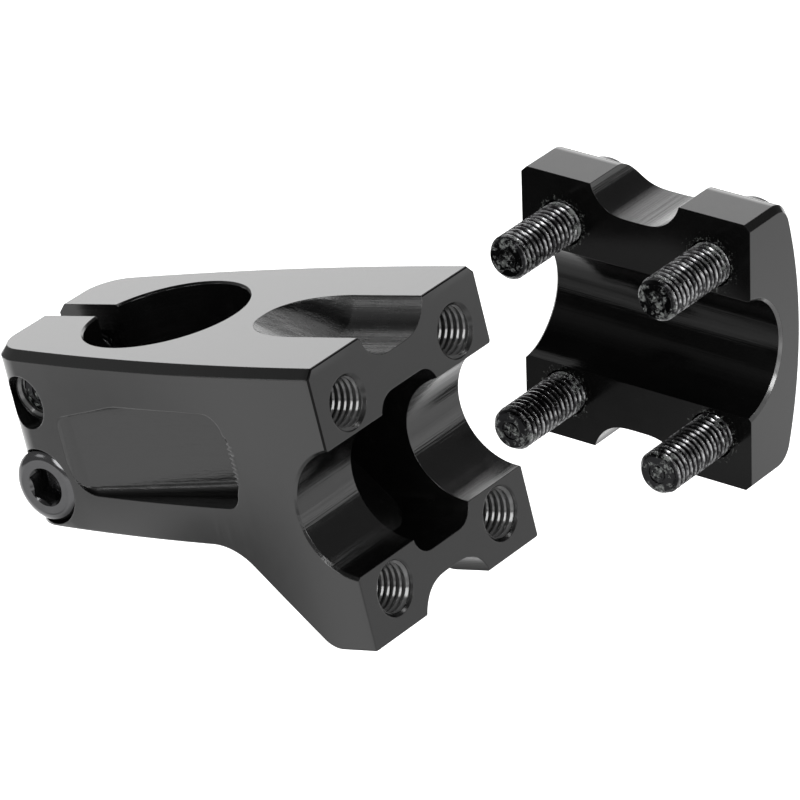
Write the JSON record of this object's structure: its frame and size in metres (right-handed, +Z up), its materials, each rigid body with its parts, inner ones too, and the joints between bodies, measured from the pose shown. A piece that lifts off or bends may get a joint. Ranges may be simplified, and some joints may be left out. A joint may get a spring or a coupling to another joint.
{
  "type": "handlebar stem",
  "caption": "Front-load handlebar stem with a split steerer clamp, milled recesses and its bar faceplate taken off and laid beside it, clamp bolts still in it.",
  "frame": {"origin": "on the steerer axis, at the underside of the steerer clamp", "axes": "+X forward to the handlebar, +Y to the rider's left, +Z up along the steerer"},
  "size_m": [0.0988, 0.1064, 0.0597],
  "materials": {
    "black_alloy": "gloss black anodised over fine machining lines",
    "bolt_steel": "black oxide with a little dry thread locker on the threads"
  },
  "bodies": {
    "stem": {"stem_body": "black_alloy"},
    "clamp_bolt_upper_left": {"clamp_bolt_upper_left": "bolt_steel"},
    "faceplate": {"faceplate": "black_alloy"},
    "clamp_bolt_upper_right": {"clamp_bolt_upper_right": "bolt_steel"},
    "clamp_bolt_lower_left": {"clamp_bolt_lower_left": "bolt_steel"},
    "clamp_bolt_lower_right": {"clamp_bolt_lower_right": "bolt_steel"},
    "pinch_bolt_upper": {"pinch_bolt_upper": "bolt_steel"},
    "pinch_bolt_lower": {"pinch_bolt_lower": "bolt_steel"}
  },
  "joints": [
    {"name": "faceplate_turn", "type": "hinge", "parent": "stem", "child": "clamp_bolt_upper_left", "pos_m": [0.0244, 0.0201, 0.00978], "axis": [-0.1231, -0.1231, -0.9847], "range_deg": [0, 90.88]},
    {"name": "faceplate_slide", "type": "slide", "parent": "clamp_bolt_upper_left", "child": "faceplate", "axis": [0, -1, 0], "range_m": [0, 0.02]},
    {"name": "clamp_bolt_upper_right_out", "type": "slide", "parent": "faceplate", "child": "clamp_bolt_upper_right", "axis": [0, 1, 0], "range_m": [0, 0.0167]},
    {"name": "clamp_bolt_lower_left_out", "type": "slide", "parent": "faceplate", "child": "clamp_bolt_lower_left", "axis": [0, 1, 0], "range_m": [0, 0.0167]},
    {"name": "clamp_bolt_lower_right_out", "type": "slide", "parent": "faceplate", "child": "clamp_bolt_lower_right", "axis": [0, 1, 0], "range_m": [0, 0.0167]},
    {"name": "pinch_bolt_upper_out", "type": "slide", "parent": "stem", "child": "pinch_bolt_upper", "axis": [0, 1, 0], "range_m": [0, 0.023]},
    {"name": "pinch_bolt_lower_out", "type": "slide", "parent": "stem", "child": "pinch_bolt_lower", "axis": [0, -1, 0], "range_m": [0, 0.023]}
  ]
}
